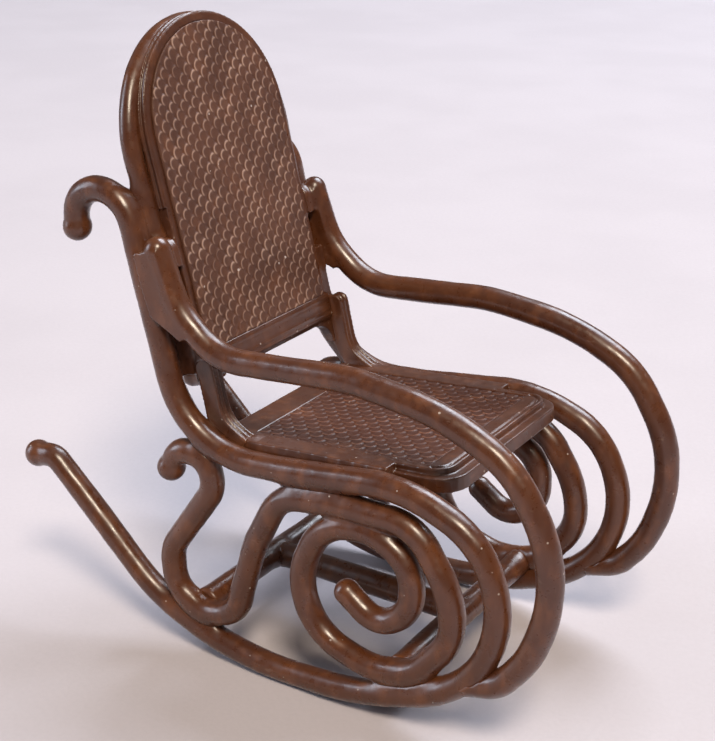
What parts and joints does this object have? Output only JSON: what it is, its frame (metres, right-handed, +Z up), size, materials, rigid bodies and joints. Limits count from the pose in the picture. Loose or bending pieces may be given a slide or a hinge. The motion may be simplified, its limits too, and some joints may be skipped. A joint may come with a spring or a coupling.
{
  "type": "miniature rocking chair",
  "caption": "Dolls' house rocking chair in imitation bentwood, with looped side frames, round-topped cane back, cane seat and open arms.",
  "frame": {"origin": "on the floor, under the middle of the outer box", "axes": "+X the way the sitter faces, +Y the sitter's left, +Z up"},
  "size_m": [0.079, 0.0366, 0.0791],
  "materials": {
    "rod_plastic": "glossy moulded brown",
    "frame_plastic": "glossy moulded dark brown",
    "cane_plastic": "satin moulded brown with a pressed cane pattern"
  },
  "bodies": {
    "root": {"right_main_rod": "rod_plastic", "left_main_rod": "rod_plastic", "right_arm": "rod_plastic", "left_arm": "rod_plastic", "right_scroll": "rod_plastic", "left_scroll": "rod_plastic", "right_spiral": "rod_plastic", "left_spiral": "rod_plastic", "back_hoop": "rod_plastic", "back_frame": "frame_plastic", "back_cane": "cane_plastic", "right_back_leg": "frame_plastic", "left_back_leg": "frame_plastic", "right_back_lug": "frame_plastic", "left_back_lug": "frame_plastic", "seat_frame": "frame_plastic", "seat_cane": "cane_plastic", "front_stretcher": "rod_plastic", "rear_stretcher": "rod_plastic", "centre_stretcher": "rod_plastic"}
  },
  "joints": []
}
